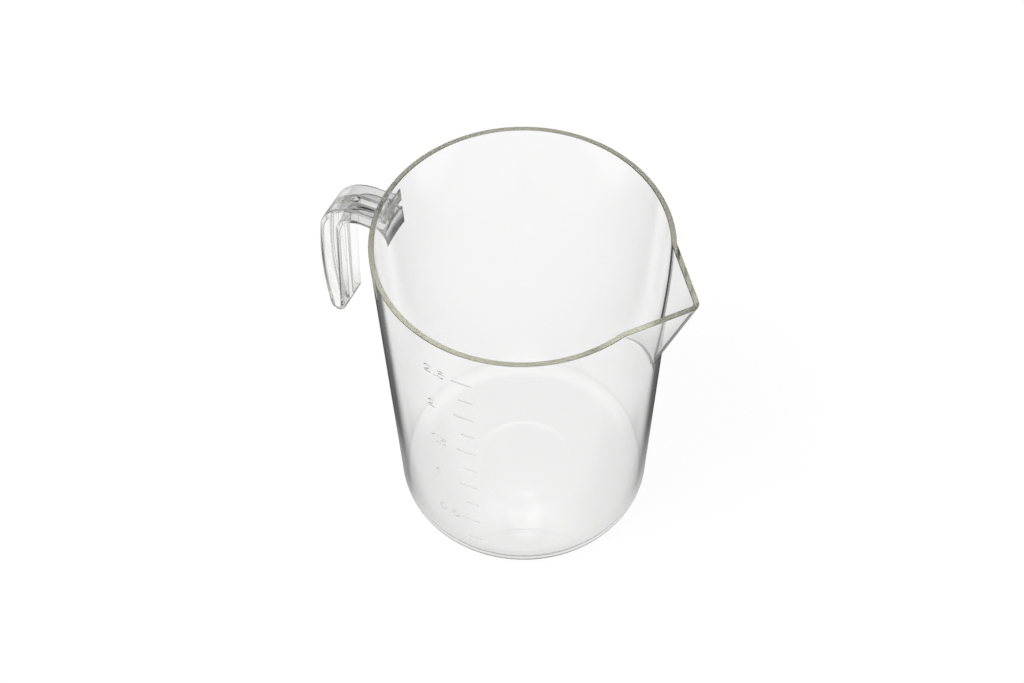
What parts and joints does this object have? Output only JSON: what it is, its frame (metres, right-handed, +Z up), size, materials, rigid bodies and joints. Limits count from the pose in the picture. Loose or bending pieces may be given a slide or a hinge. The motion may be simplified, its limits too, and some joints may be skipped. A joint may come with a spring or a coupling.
{
  "type": "measuring jug",
  "caption": "Clear plastic measuring jug: tapered round vessel with a flat-sided pouring spout, an open I-section hook handle opposite it and a raised litre scale.",
  "frame": {"origin": "the point on the table under the vessel's axis, in the plane of the underside", "axes": "+Z up along the vessel's axis, +X towards the spout, -X towards the handle"},
  "size_m": [0.2072, 0.152, 0.196],
  "materials": {
    "clear_body": "clear polished plastic",
    "clear_handle": "clear polished plastic",
    "scale_relief": "clear raised strokes"
  },
  "bodies": {
    "root": {"jug_body": "clear_body", "handle": "clear_handle", "long_scale_marks": "scale_relief", "short_scale_marks": "scale_relief"}
  },
  "joints": []
}
